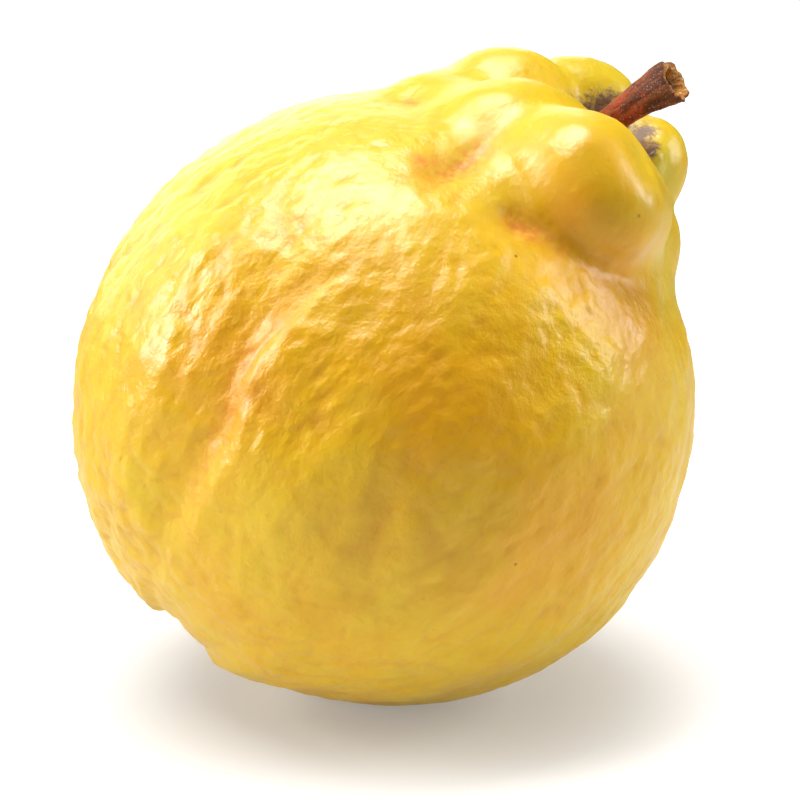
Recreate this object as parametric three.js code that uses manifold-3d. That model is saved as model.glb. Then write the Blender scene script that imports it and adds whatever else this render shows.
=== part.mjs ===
// A ripe quince lying on its side, with its stem and its dried blossom end.
// Units are millimetres. The fruit is shaped in its own frame, where +z runs from the
// blossom end to the stem, and is then leaned over about the y axis and set on z = 0.
import * as THREE from 'three';
import { mergeVertices } from 'three/addons/utils/BufferGeometryUtils.js';
import Module from 'manifold-3d';

// ---------------------------------------------------------------- driving dimensions
const LEAN = 40;                       // degrees from upright, stem end towards +x
const REST_CUT = 1.2;                  // height taken off the underside for the rest flat

const BODY = { centre: [-0.3, 0, -0.2], radii: [46.4, 46.4, 46.1] };
const NECK = { centre: [-1.7, 0, 33.5], radii: [19, 19, 17.5], blend: 7.5 };

// Knobs round the stem: centre, radii, turn about y in degrees, blend with the last knob.
const REAR_KNOBS = [
  { centre: [-14.4, 6, 45.5], radii: [10.4, 7.5, 8.6], turn: -36, blend: 3 },
  { centre: [-7.4, 11.5, 50.6], radii: [7, 6, 6.6], turn: 10, blend: 1.5 },
  { centre: [-14.6, -8.8, 44.2], radii: [8.4, 7.5, 5.8], turn: -34, blend: 1.2 },
  { centre: [-10, -6.8, 48.5], radii: [8, 5, 4.2], turn: -16, blend: 3 },
  { centre: [-3, 13, 51.5], radii: [9, 8, 8.5], turn: 10, blend: 2.5 },
  { centre: [7.5, 8.5, 47.5], radii: [8.1, 8, 11.6], turn: 0, blend: 2.5 },
  { centre: [5, 1, 53.5], radii: [4, 3, 3], turn: 0, blend: 2.5 },
  { centre: [12.8, 3, 42.2], radii: [7.5, 7.5, 7.6], turn: 0, blend: 2.5 },
  { centre: [-19.9, 1, 36.2], radii: [9, 9, 8.7], turn: 0, blend: 4 },
];
const FRONT_KNOBS = [
  { centre: [0.6, -17, 45.1], radii: [11.8, 11, 11.6], turn: 0, blend: 2 },
  { centre: [-9.5, -14.3, 43.4], radii: [8, 6.5, 5.6], turn: -60, blend: 5 },
  { centre: [7, -9, 44.3], radii: [8, 8, 8.2], turn: 0, blend: 5 },
];
const REAR_JOIN = 5.5;                 // blend of the rear knobs into the shoulder
const FRONT_JOIN = 3.5;                // the front knob is pinched off more sharply
const KNOB_CREASE = 2;                 // blend between the front and the rear knobs

const STEM_CAVITY = { centre: [-1, 0, 60], radii: [7, 6.5, 14], blend: 3 };
const CALYX_BASIN = { centre: [0, 0, -56], radii: [13, 13, 17], blend: 6 };

// Furrows run from neck to blossom end: longitude at the equator, twist per degree of
// polar angle, polar range, taper, depth (negative for a ridge) and half width.
const FURROWS = [
  { lon: 234, twist: 0.25, from: 50, to: 128, taper: 40, depth: 0.9, width: 7 },
  { lon: 236.5, twist: 0.25, from: 74, to: 122, taper: 26, depth: 0.5, width: 3 },
  { lon: 243, twist: 0.25, from: 82, to: 116, taper: 24, depth: -0.2, width: 4 },
  { lon: 271, twist: 0.4, from: 90, to: 132, taper: 24, depth: 0.4, width: 2.6 },
];
// Broad swellings: count round the fruit, phase in radians, height, polar range, taper.
const SWELLINGS = [
  { count: 5, phase: 0.15, height: 0.7, from: 60, to: 175, taper: 50 },
  { count: 3, phase: 0.5, height: 0.5, from: 30, to: 150, taper: 60 },
];

const FRUIT_SEGMENTS = 66;             // columns of the fruit's mesh
const MESH_CENTRE = [-1, 0, 20];       // the rings are seen from here, inside the shoulder
const RING_BANDS = [                   // polar angle from, to and step, in degrees
  { from: 2.2, to: 62, step: 2.3 },
  { from: 64, to: 160, step: 4.2 },
  { from: 162, to: 178.5, step: 1.5 },
];

const STEM_PATH = [[-1.5, 0.3, 48.6], [-1.7, -1, 53], [-0.8, -3.2, 58.5], [0.7, -6, 64.4]];
const STEM_RADII = [2.1, 2.15, 2.6, 3.45];
const STEM_SEGMENTS = 20;
const STEM_RINGS = 14;
const STEM_HOLLOW = 1.1;               // depth of the torn hollow in the stem's end

const SEPAL_COUNT = 5;
const SEPAL_FOOT = 4.2;                // distance of a sepal's foot from the axis
const SEPAL_LENGTH = 7.2;
const SEPAL_WIDTH = 3.6;
const SEPAL_THICKNESS = 0.8;
const SEPAL_GAP = 0.35;                // clearance over the basin floor

const STAMEN_COUNT = 8;
const STAMEN_RING = 2.5;               // distance of the stamens from the axis
const STAMEN_LENGTH = 3.6;
const STAMEN_RADIUS = 0.34;
const STYLE_RADIUS = 1.15;
const STYLE_HEIGHT = 2.6;

const COLOURS = {
  fruit: 0xe3b320,
  stem: 0x7a3a1c,
  sepal: 0x6b4a2a,
  stamen: 0x4a3320,
  styles: 0x54391f,
};

// ---------------------------------------------------------------- the fruit's surface
const rad = THREE.MathUtils.degToRad;

/** Polynomial smooth minimum of two distances. */
function blendMin(a, b, k) {
  const h = Math.max(k - Math.abs(a - b), 0) / k;
  return Math.min(a, b) - (h * h * k) / 4;
}

/** Smooth step up at `from` and down at `to`, each spread over `taper`. */
function band(value, from, to, taper) {
  const rise = THREE.MathUtils.clamp((value - from) / taper + 0.5, 0, 1);
  const fall = THREE.MathUtils.clamp((to - value) / taper + 0.5, 0, 1);
  return rise * rise * (3 - 2 * rise) * fall * fall * (3 - 2 * fall);
}

/** Approximate distance from a point to an ellipsoid turned about the y axis. */
function ellipsoid(x, y, z, { centre, radii, turn = 0 }) {
  const c = Math.cos(rad(turn));
  const s = Math.sin(rad(turn));
  const dx = x - centre[0];
  const dy = y - centre[1];
  const dz = z - centre[2];
  const u = (dx * c - dz * s) / radii[0];
  const v = dy / radii[1];
  const w = (dx * s + dz * c) / radii[2];
  const near = Math.hypot(u, v, w);
  const slope = Math.hypot(u / radii[0], v / radii[1], w / radii[2]);
  return (near * (near - 1)) / Math.max(slope, 1e-9);
}

/** Signed distance to one group of knobs, blended in order. */
function knobs(x, y, z, list) {
  return list.reduce(
    (d, knob, i) => {
      const e = ellipsoid(x, y, z, knob);
      return i === 0 ? e : blendMin(d, e, knob.blend);
    },
    0,
  );
}

/** Height of the broad swellings and furrows at a place on the fruit. */
function relief(x, y, z) {
  const rho = Math.hypot(x, y);
  const polar = THREE.MathUtils.radToDeg(Math.atan2(rho, z));
  const lon = THREE.MathUtils.radToDeg(Math.atan2(y, x));
  let height = 0;
  for (const s of SWELLINGS) {
    const wave = Math.cos(s.count * rad(lon) + s.phase);
    height += s.height * wave * band(polar, s.from, s.to, s.taper);
  }
  for (const f of FURROWS) {
    const off = lon - (f.lon + f.twist * (polar - 90));
    const wrapped = THREE.MathUtils.euclideanModulo(off + 180, 360) - 180;
    const across = (rho * rad(wrapped)) / f.width;
    height -= f.depth * Math.exp(-across * across) * band(polar, f.from, f.to, f.taper);
  }
  return height;
}

/** Signed distance to the fruit, negative inside. */
function fruitDistance(x, y, z) {
  let body = ellipsoid(x, y, z, BODY) - relief(x, y, z);
  body = blendMin(body, ellipsoid(x, y, z, NECK), NECK.blend);
  const rear = blendMin(body, knobs(x, y, z, REAR_KNOBS), REAR_JOIN);
  const front = blendMin(body, knobs(x, y, z, FRONT_KNOBS), FRONT_JOIN);
  let d = blendMin(front, rear, KNOB_CREASE);
  d = -blendMin(-d, ellipsoid(x, y, z, STEM_CAVITY), STEM_CAVITY.blend);
  return -blendMin(-d, ellipsoid(x, y, z, CALYX_BASIN), CALYX_BASIN.blend);
}

/** The fruit's surface met when coming in towards the mesh centre along one direction. */
function surfaceAlong(direction) {
  const point = new THREE.Vector3();
  let r = 80;
  for (let i = 0; i < 160; i += 1) {
    point.fromArray(MESH_CENTRE).addScaledVector(direction, r);
    const d = fruitDistance(point.x, point.y, point.z);
    if (d < 0.002) break;
    r -= d * 0.6;
  }
  return point;
}

/** Point on the basin floor at a distance and bearing from the axis. */
function basinFloor(distance, bearing) {
  const x = distance * Math.cos(bearing);
  const y = distance * Math.sin(bearing);
  let z = -60;
  for (let i = 0; i < 160; i += 1) {
    const d = fruitDistance(x, y, z);
    if (d < 0.002) break;
    z += d * 0.6;
  }
  return new THREE.Vector3(x, y, z);
}

// ---------------------------------------------------------------- mesh helpers

/** Closed mesh from a start point, rings of equal count and an end point. */
function closedRings(start, rings, end) {
  const count = rings[0].length;
  const points = [start, ...rings.flat(), end];
  const last = points.length - 1;
  const faces = [];
  for (let i = 0; i < count; i += 1) {
    const j = (i + 1) % count;
    faces.push(0, 1 + j, 1 + i);
    for (let k = 0; k < rings.length - 1; k += 1) {
      const a = 1 + k * count + i;
      const b = 1 + k * count + j;
      faces.push(a, b, b + count, a, b + count, a + count);
    }
    faces.push(last, last - count + i, last - count + j);
  }
  const geometry = new THREE.BufferGeometry();
  const flat = points.flatMap((p) => [p.x, p.y, p.z]);
  geometry.setAttribute('position', new THREE.Float32BufferAttribute(flat, 3));
  geometry.setIndex(faces);
  return geometry;
}

/** Flip the faces when a closed mesh encloses a negative volume. */
function facedOutwards(geometry) {
  const index = geometry.getIndex().array;
  const p = geometry.getAttribute('position');
  const [a, b, c] = [new THREE.Vector3(), new THREE.Vector3(), new THREE.Vector3()];
  let volume = 0;
  for (let i = 0; i < index.length; i += 3) {
    a.fromBufferAttribute(p, index[i]);
    b.fromBufferAttribute(p, index[i + 1]);
    c.fromBufferAttribute(p, index[i + 2]);
    volume += a.dot(b.cross(c)) / 6;
  }
  if (volume < 0) {
    for (let i = 0; i < index.length; i += 3) {
      [index[i + 1], index[i + 2]] = [index[i + 2], index[i + 1]];
    }
  }
  return geometry;
}

/** Named mesh with a plain material of its own. */
function part(name, geometry, colour, roughness) {
  geometry.computeVertexNormals();
  const material = new THREE.MeshStandardMaterial({ color: colour, roughness });
  material.name = name;
  const mesh = new THREE.Mesh(geometry, material);
  mesh.name = name;
  return mesh;
}

/** Round tube along a curve; `radius(t, angle)` gives the wall, the end may be hollow. */
function tube(curve, radius, segments, rings, hollow = 0) {
  const frames = curve.computeFrenetFrames(rings, false);
  const list = [];
  const ringAt = (t, k, scale, sink) => {
    const centre = curve.getPointAt(t).addScaledVector(frames.tangents[k], -sink);
    return Array.from({ length: segments }, (_, i) => {
      const angle = (i / segments) * Math.PI * 2;
      const r = radius(t, angle) * scale;
      return centre
        .clone()
        .addScaledVector(frames.normals[k], r * Math.cos(angle))
        .addScaledVector(frames.binormals[k], r * Math.sin(angle));
    });
  };
  for (let k = 0; k <= rings; k += 1) list.push(ringAt(k / rings, k, 1, 0));
  list.push(ringAt(1, rings, 0.66, hollow * 0.55));
  const end = curve.getPointAt(1).addScaledVector(frames.tangents[rings], -hollow);
  return facedOutwards(closedRings(curve.getPointAt(0), list, end));
}

// ---------------------------------------------------------------- sub-parts

/** Polar angles of the fruit's rings, close together over the neck and the basin. */
function ringAngles() {
  return RING_BANDS.flatMap(({ from, to, step }) =>
    Array.from({ length: Math.floor((to - from) / step) + 1 }, (_, i) => from + i * step),
  );
}

/** The fruit before it is set down, in its own frame. */
function fruitGeometry() {
  const rings = ringAngles().map((polar) =>
    Array.from({ length: FRUIT_SEGMENTS }, (_, i) => {
      const lon = (i / FRUIT_SEGMENTS) * Math.PI * 2;
      const direction = new THREE.Vector3().setFromSphericalCoords(1, rad(polar), lon);
      return surfaceAlong(new THREE.Vector3(direction.z, direction.x, direction.y));
    }),
  );
  const top = surfaceAlong(new THREE.Vector3(0, 0, 1));
  const bottom = surfaceAlong(new THREE.Vector3(0, 0, -1));
  return facedOutwards(closedRings(top, rings, bottom));
}

/** Solid made from a closed three.js geometry. */
function solidFrom(geometry, wasm) {
  const bare = geometry.clone();
  bare.deleteAttribute('normal');
  bare.deleteAttribute('uv');
  const merged = mergeVertices(bare);
  const mesh = new wasm.Mesh({
    numProp: 3,
    vertProperties: new Float32Array(merged.getAttribute('position').array),
    triVerts: new Uint32Array(merged.getIndex().array),
  });
  return new wasm.Manifold(mesh);
}

/** Take the underside off flat so that the fruit stands on a real face. */
function cutFlat(geometry, height, wasm) {
  const block = new THREE.BoxGeometry(300, 300, 60).translate(0, 0, height - 30);
  const mesh = solidFrom(geometry, wasm).subtract(solidFrom(block, wasm)).getMesh();
  const result = new THREE.BufferGeometry();
  const points = new THREE.Float32BufferAttribute(mesh.vertProperties, 3);
  result.setAttribute('position', points);
  result.setIndex(Array.from(mesh.triVerts));
  return result;
}

/** The stem: a short woody stalk, thickest where it was torn from the twig. */
function stemGeometry() {
  const curve = new THREE.CatmullRomCurve3(STEM_PATH.map((p) => new THREE.Vector3(...p)));
  const radius = (t, angle) => {
    const s = t * (STEM_RADII.length - 1);
    const i = Math.min(Math.floor(s), STEM_RADII.length - 2);
    const base = THREE.MathUtils.lerp(STEM_RADII[i], STEM_RADII[i + 1], s - i);
    const grain = 1 + 0.035 * Math.sin(3 * angle + 1 + t) + 0.025 * Math.sin(5 * angle - 4 * t);
    return base * grain;
  };
  return tube(curve, radius, STEM_SEGMENTS, STEM_RINGS, STEM_HOLLOW);
}

/** One dried sepal: a curled blade standing on the basin floor. */
function sepalGeometry(index) {
  const bearing = (index / SEPAL_COUNT) * Math.PI * 2 + 0.3;
  const foot = basinFloor(SEPAL_FOOT, bearing);
  const out = new THREE.Vector3(Math.cos(bearing), Math.sin(bearing), 0);
  const side = new THREE.Vector3(-out.y, out.x, 0);
  const down = new THREE.Vector3(0, 0, -1);
  const curl = 0.55 + 0.2 * Math.sin(index * 2.1);
  const steps = 7;
  const rings = [];
  for (let k = 0; k <= steps; k += 1) {
    const t = k / steps;
    const lift = SEPAL_GAP + 0.55 + SEPAL_LENGTH * 0.72 * t;
    const lean = SEPAL_LENGTH * (0.22 * t + curl * t * t * 0.62);
    const centre = foot.clone().addScaledVector(down, lift).addScaledVector(out, lean - 0.6);
    const half = (SEPAL_WIDTH / 2) * (1 - 0.78 * t * t);
    const thick = (SEPAL_THICKNESS / 2) * (1 - 0.35 * t);
    const across = new THREE.Vector3().addScaledVector(out, 1 - 0.5 * t);
    across.addScaledVector(down, -0.75 * t).normalize();
    rings.push(
      Array.from({ length: 10 }, (_, i) => {
        const a = (i / 10) * Math.PI * 2;
        const cup = 0.35 * Math.cos(a) * Math.cos(a) * half;
        return centre
          .clone()
          .addScaledVector(side, half * Math.cos(a))
          .addScaledVector(across, thick * Math.sin(a) - cup);
      }),
    );
  }
  const middle = (ring) =>
    ring.reduce((sum, p) => sum.add(p), new THREE.Vector3()).divideScalar(ring.length);
  return facedOutwards(closedRings(middle(rings[0]), rings, middle(rings[steps])));
}

/** One withered stamen inside the ring of sepals. */
function stamenGeometry(index) {
  const bearing = (index / STAMEN_COUNT) * Math.PI * 2 + 0.1;
  const reach = STAMEN_LENGTH * (0.85 + 0.15 * Math.sin(index * 2.7));
  const foot = basinFloor(STAMEN_RING, bearing);
  const at = (distance, turn, height) =>
    new THREE.Vector3(
      distance * Math.cos(bearing + turn),
      distance * Math.sin(bearing + turn),
      foot.z - SEPAL_GAP - height,
    );
  const bend = 0.12 * Math.sin(index * 1.9);
  const curve = new THREE.CatmullRomCurve3([
    at(STAMEN_RING, 0, 0.25),
    at(STAMEN_RING - 0.1, bend, reach * 0.5),
    at(STAMEN_RING + 0.15, bend * 2, reach),
  ]);
  return tube(curve, (t) => STAMEN_RADIUS * (1 + 0.45 * t * t), 8, 6);
}

/** The five styles, dried together into one blunt tuft on the axis. */
function stylesGeometry() {
  const foot = basinFloor(0, 0);
  const curve = new THREE.CatmullRomCurve3([
    new THREE.Vector3(0, 0, foot.z - SEPAL_GAP),
    new THREE.Vector3(0.1, 0.05, foot.z - SEPAL_GAP - STYLE_HEIGHT * 0.5),
    new THREE.Vector3(0.15, -0.1, foot.z - SEPAL_GAP - STYLE_HEIGHT),
  ]);
  const radius = (t, angle) => STYLE_RADIUS * (1 - 0.35 * t) * (1 + 0.1 * Math.cos(5 * angle));
  return tube(curve, radius, 20, 6);
}

/** The stem and the blossom end's dried parts, in the fruit's own frame. */
function trimmings() {
  const group = new THREE.Group();
  group.add(part('stem', stemGeometry(), COLOURS.stem, 0.75));
  for (let i = 0; i < SEPAL_COUNT; i += 1) {
    group.add(part(`sepal_${i + 1}`, sepalGeometry(i), COLOURS.sepal, 0.9));
  }
  for (let i = 0; i < STAMEN_COUNT; i += 1) {
    group.add(part(`stamen_${i + 1}`, stamenGeometry(i), COLOURS.stamen, 0.9));
  }
  group.add(part('styles', stylesGeometry(), COLOURS.styles, 0.9));
  return group;
}

/** The whole quince, standing on z = 0. */
async function quince() {
  const wasm = await Module();
  wasm.setup();
  const group = new THREE.Group();
  group.name = 'quince';
  const whole = fruitGeometry().rotateY(rad(LEAN));
  whole.computeBoundingBox();
  const floor = whole.boundingBox.min.z + REST_CUT;
  group.add(part('fruit', cutFlat(whole, floor, wasm), COLOURS.fruit, 0.45));
  const leaned = trimmings();
  leaned.rotation.y = rad(LEAN);
  group.add(leaned);

  const box = new THREE.Box3().setFromObject(group, true);
  const middle = box.getCenter(new THREE.Vector3());
  group.position.set(-middle.x, -middle.y, -box.min.z);
  return group;
}

export default await quince();
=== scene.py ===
"""A ripe quince lying on its side: knobbly round the stem, wrinkled skin, dried blossom end.

The fruit's shape is worked out in millimetres in its own frame, where +z runs from the
blossom end to the stem, and is then leaned over and set down in the row frame in metres.
"""

import itertools
import logging
import math
from dataclasses import dataclass, field
from enum import Enum

import bmesh
import bpy
import numpy as np
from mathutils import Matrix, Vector


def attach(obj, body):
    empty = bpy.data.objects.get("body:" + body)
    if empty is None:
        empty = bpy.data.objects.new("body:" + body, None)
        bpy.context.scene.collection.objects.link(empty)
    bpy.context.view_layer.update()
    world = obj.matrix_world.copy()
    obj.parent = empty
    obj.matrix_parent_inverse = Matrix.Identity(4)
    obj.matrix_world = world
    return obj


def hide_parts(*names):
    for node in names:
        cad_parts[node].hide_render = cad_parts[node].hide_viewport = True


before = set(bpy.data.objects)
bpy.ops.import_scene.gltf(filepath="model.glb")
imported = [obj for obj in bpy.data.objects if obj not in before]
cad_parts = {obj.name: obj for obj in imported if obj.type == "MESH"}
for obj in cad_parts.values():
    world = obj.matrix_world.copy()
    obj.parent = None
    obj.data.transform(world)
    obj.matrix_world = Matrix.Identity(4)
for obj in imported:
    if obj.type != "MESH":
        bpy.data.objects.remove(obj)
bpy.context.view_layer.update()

LOG = logging.getLogger("quince")

MM = 0.001
LEAN = 40.0
BELLY_RADIUS = 46.0
BELOW_FRUIT = -60.0
HASH_PRIMES = (73856093, 19349663, 83492791)
NOISE_GAIN = 1.5
FRUIT_ORIGIN_MM = (-0.458, -0.222, 46.457)

Rgb = tuple[float, float, float]
Triple = tuple[float, float, float]


# ------------------------------------------------------------------------- small maths
def leaning_matrix() -> np.ndarray:
    """Turn from the fruit's own frame to the row frame.

    Returns:
        A 3 by 3 matrix.
    """
    angle = math.radians(LEAN)
    c, s = math.cos(angle), math.sin(angle)
    return np.array([[c, 0.0, s], [0.0, 1.0, 0.0], [-s, 0.0, c]])


def to_row(points_mm: np.ndarray) -> np.ndarray:
    """Fruit-frame millimetres to row-frame metres."""
    return (points_mm @ leaning_matrix().T + np.array(FRUIT_ORIGIN_MM)) * MM


def to_fruit(points_m: np.ndarray) -> np.ndarray:
    """Row-frame metres to fruit-frame millimetres."""
    return (points_m / MM - np.array(FRUIT_ORIGIN_MM)) @ leaning_matrix()


def blend_min(a: np.ndarray, b: np.ndarray, k: float) -> np.ndarray:
    """Polynomial smooth minimum of two distances.

    Args:
        a: First distance field.
        b: Second distance field.
        k: Width over which the two run into each other, in millimetres.

    Returns:
        The blended distance.
    """
    h = np.maximum(k - np.abs(a - b), 0.0) / k
    return np.minimum(a, b) - h * h * k / 4.0


def band(value: np.ndarray, low: float, high: float, taper: float) -> np.ndarray:
    """Smooth step up at `low` and down at `high`, each spread over `taper`.

    Args:
        value: Where the band is read.
        low: Value at which the band is half risen.
        high: Value at which the band is half fallen.
        taper: Width of the rise and of the fall.

    Returns:
        A weight between 0 and 1.
    """
    rise = np.clip((value - low) / taper + 0.5, 0.0, 1.0)
    fall = np.clip((high - value) / taper + 0.5, 0.0, 1.0)
    return rise * rise * (3 - 2 * rise) * fall * fall * (3 - 2 * fall)


@dataclass(frozen=True)
class LatticeNoise:
    """Seeded gradient noise on a cubic lattice, roughly between -1 and 1."""

    seed: int
    table_size: int = 4096

    def sample(self, points: np.ndarray) -> np.ndarray:
        """Noise at each point.

        Args:
            points: Array of n by 3 lattice coordinates.

        Returns:
            Array of n values.
        """
        rng = np.random.default_rng(self.seed)
        slopes = rng.normal(size=(self.table_size, 3))
        slopes /= np.linalg.norm(slopes, axis=1, keepdims=True)
        cell = np.floor(points).astype(np.int64)
        inside = points - cell
        ease = inside**3 * (inside * (inside * 6 - 15) + 10)
        total = np.zeros(len(points))
        for corner in itertools.product((0, 1), repeat=3):
            key = np.bitwise_xor.reduce((cell + np.array(corner)) * np.array(HASH_PRIMES), axis=1)
            slope = slopes[key & (self.table_size - 1)]
            ramp = np.einsum("ij,ij->i", slope, inside - np.array(corner))
            weight = np.prod(np.where(np.array(corner) == 1, ease, 1 - ease), axis=1)
            total += weight * ramp
        return total * NOISE_GAIN

    def octaves(self, points: np.ndarray, count: int, gain: float = 0.5) -> np.ndarray:
        """Sum of octaves, each half the size of the one before.

        Args:
            points: Array of n by 3 lattice coordinates of the largest octave.
            count: How many octaves are added.
            gain: Height of each octave as a share of the one before.

        Returns:
            Array of n values.
        """
        total = np.zeros(len(points))
        for i in range(count):
            layer = LatticeNoise(self.seed + 17 * i)
            total += layer.sample(points * 2.0**i) * gain**i
        return total


# --------------------------------------------------------------------- the fruit's form
@dataclass(frozen=True)
class Lobe:
    """An ellipsoid, turned about the y axis, in millimetres and degrees."""

    centre: Triple
    radii: Triple
    turn: float = 0.0
    blend: float = 3.0

    def distance(self, points: np.ndarray) -> np.ndarray:
        """Approximate signed distance from each point to the lobe.

        Args:
            points: Array of n by 3 points in the fruit's frame.

        Returns:
            Array of n distances, negative inside.
        """
        angle = math.radians(self.turn)
        c, s = math.cos(angle), math.sin(angle)
        d = points - np.array(self.centre)
        local = np.stack(
            [d[:, 0] * c - d[:, 2] * s, d[:, 1], d[:, 0] * s + d[:, 2] * c], axis=1
        )
        radii = np.array(self.radii)
        near = np.linalg.norm(local / radii, axis=1)
        slope = np.linalg.norm(local / radii**2, axis=1)
        return near * (near - 1.0) / np.maximum(slope, 1e-9)


@dataclass(frozen=True)
class Furrow:
    """A groove running from the neck to the blossom end; a negative depth is a ridge."""

    lon: float
    twist: float
    low: float
    high: float
    taper: float
    depth: float
    width: float


@dataclass(frozen=True)
class Swelling:
    """Broad ribs round the fruit."""

    count: int
    phase: float
    height: float
    low: float
    high: float
    taper: float


@dataclass(frozen=True)
class QuinceForm:
    """The fruit's smooth outer form, as one signed distance in its own frame."""

    body: Lobe = Lobe((-0.3, 0, -0.2), (46.4, 46.4, 46.1))
    neck: Lobe = Lobe((-1.7, 0, 33.5), (19, 19, 17.5), blend=7.5)
    rear_knobs: tuple[Lobe, ...] = (
        Lobe((-14.4, 6, 45.5), (10.4, 7.5, 8.6), -36, 3),
        Lobe((-7.4, 11.5, 50.6), (7, 6, 6.6), 10, 1.5),
        Lobe((-14.6, -8.8, 44.2), (8.4, 7.5, 5.8), -34, 1.2),
        Lobe((-10.0, -6.8, 48.5), (8, 5, 4.2), -16, 3),
        Lobe((-3, 13, 51.5), (9, 8, 8.5), 10, 2.5),
        Lobe((7.5, 8.5, 47.5), (8.1, 8, 11.6), 0, 2.5),
        Lobe((5, 1, 53.5), (4, 3, 3), 0, 2.5),
        Lobe((12.8, 3, 42.2), (7.5, 7.5, 7.6), 0, 2.5),
        Lobe((-19.9, 1, 36.2), (9, 9, 8.7), 0, 4),
    )
    front_knobs: tuple[Lobe, ...] = (
        Lobe((0.6, -17, 45.1), (11.8, 11, 11.6), 0, 2),
        Lobe((-9.5, -14.3, 43.4), (8, 6.5, 5.6), -60, 5),
        Lobe((7.0, -9, 44.3), (8, 8, 8.2), 0, 5),
    )
    rear_join: float = 5.5
    front_join: float = 3.5
    knob_crease: float = 2.0
    stem_cavity: Lobe = Lobe((-1, 0, 60), (7, 6.5, 14), blend=3)
    calyx_basin: Lobe = Lobe((0, 0, -56), (13, 13, 17), blend=6)
    furrows: tuple[Furrow, ...] = (
        Furrow(234, 0.25, 50, 128, 40, 0.9, 7),
        Furrow(236.5, 0.25, 74, 122, 26, 0.5, 3),
        Furrow(243, 0.25, 82, 116, 24, -0.2, 4),
        Furrow(271, 0.4, 90, 132, 24, 0.4, 2.6),
    )
    swellings: tuple[Swelling, ...] = (
        Swelling(5, 0.15, 0.7, 60, 175, 50),
        Swelling(3, 0.5, 0.5, 30, 150, 60),
    )

    @staticmethod
    def bearings(points: np.ndarray) -> tuple[np.ndarray, np.ndarray, np.ndarray]:
        """Where points lie on the fruit.

        Args:
            points: Array of n by 3 points in the fruit's frame.

        Returns:
            Distance from the axis, polar angle from the stem and longitude, the
            angles in degrees.
        """
        rho = np.hypot(points[:, 0], points[:, 1])
        polar = np.degrees(np.arctan2(rho, points[:, 2]))
        lon = np.degrees(np.arctan2(points[:, 1], points[:, 0]))
        return rho, polar, lon

    def broad_relief(self, points: np.ndarray) -> np.ndarray:
        """Height of the broad swellings and furrows at each point.

        Args:
            points: Array of n by 3 points in the fruit's frame.

        Returns:
            Array of n heights.
        """
        rho, polar, lon = self.bearings(points)
        height = np.zeros(len(points))
        for s in self.swellings:
            wave = np.cos(s.count * np.radians(lon) + s.phase)
            height += s.height * wave * band(polar, s.low, s.high, s.taper)
        for f in self.furrows:
            off = (lon - (f.lon + f.twist * (polar - 90)) + 180) % 360 - 180
            across = rho * np.radians(off) / f.width
            height -= f.depth * np.exp(-(across**2)) * band(polar, f.low, f.high, f.taper)
        return height

    @staticmethod
    def blended(points: np.ndarray, lobes: tuple[Lobe, ...]) -> np.ndarray:
        """Distance to a row of lobes, each blended into the ones before.

        Args:
            points: Array of n by 3 points in the fruit's frame.
            lobes: The lobes, each with the width of its own blend.

        Returns:
            Array of n distances.
        """
        d = lobes[0].distance(points)
        for lobe in lobes[1:]:
            d = blend_min(d, lobe.distance(points), lobe.blend)
        return d

    def distance(self, points: np.ndarray) -> np.ndarray:
        """Signed distance to the fruit.

        Args:
            points: Array of n by 3 points in the fruit's frame.

        Returns:
            Array of n distances, negative inside.
        """
        body = self.body.distance(points) - self.broad_relief(points)
        body = blend_min(body, self.neck.distance(points), self.neck.blend)
        rear = blend_min(body, self.blended(points, self.rear_knobs), self.rear_join)
        front = blend_min(body, self.blended(points, self.front_knobs), self.front_join)
        d = blend_min(front, rear, self.knob_crease)
        d = -blend_min(-d, self.stem_cavity.distance(points), self.stem_cavity.blend)
        return -blend_min(-d, self.calyx_basin.distance(points), self.calyx_basin.blend)

    def slope(self, points: np.ndarray, step: float = 0.05) -> np.ndarray:
        """Gradient of the distance by central differences.

        Args:
            points: Array of n by 3 points in the fruit's frame.
            step: Half the width of each difference, in millimetres.

        Returns:
            Array of n by 3 slopes.
        """
        axes = np.eye(3) * step
        parts = [self.distance(points + a) - self.distance(points - a) for a in axes]
        return np.stack(parts, axis=1) / (2 * step)

    def settle(self, points: np.ndarray, rounds: int = 4) -> np.ndarray:
        """Move points onto the surface along the distance's slope.

        Args:
            points: Array of n by 3 points near the surface.
            rounds: How many Newton steps to take.

        Returns:
            The moved points.
        """
        for _ in range(rounds):
            slope = self.slope(points)
            size = np.maximum(np.einsum("ij,ij->i", slope, slope), 0.2)
            points = points - slope * (self.distance(points) / size)[:, None]
        return points

    def basin_floor(self, x: float, y: float) -> float:
        """Height of the surface met when coming up along the axis from below.

        Args:
            x: Distance from the axis along x.
            y: Distance from the axis along y.

        Returns:
            Height of the surface in the fruit's frame.
        """
        z = BELOW_FRUIT
        for _ in range(120):
            z += 0.6 * float(self.distance(np.array([[x, y, z]]))[0])
        return z


FORM = QuinceForm()


# ------------------------------------------------------------------------ mesh helpers
def mesh_piece(name: str, points: np.ndarray, faces: list[tuple[int, ...]]) -> bpy.types.Object:
    """Smooth-shaded mesh object linked to the scene.

    Args:
        name: Name of the piece.
        points: Vertices in the row frame, in metres.
        faces: Vertex indices of each face.

    Returns:
        The new object.
    """
    mesh = bpy.data.meshes.new(name)
    mesh.from_pydata([tuple(p) for p in points], [], faces)
    mesh.update()
    piece = bpy.data.objects.new(name, mesh)
    bpy.context.scene.collection.objects.link(piece)
    tidy = bmesh.new()
    tidy.from_mesh(mesh)
    bmesh.ops.recalc_face_normals(tidy, faces=tidy.faces)
    tidy.to_mesh(mesh)
    tidy.free()
    mesh.polygons.foreach_set("use_smooth", [True] * len(mesh.polygons))
    return piece


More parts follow.
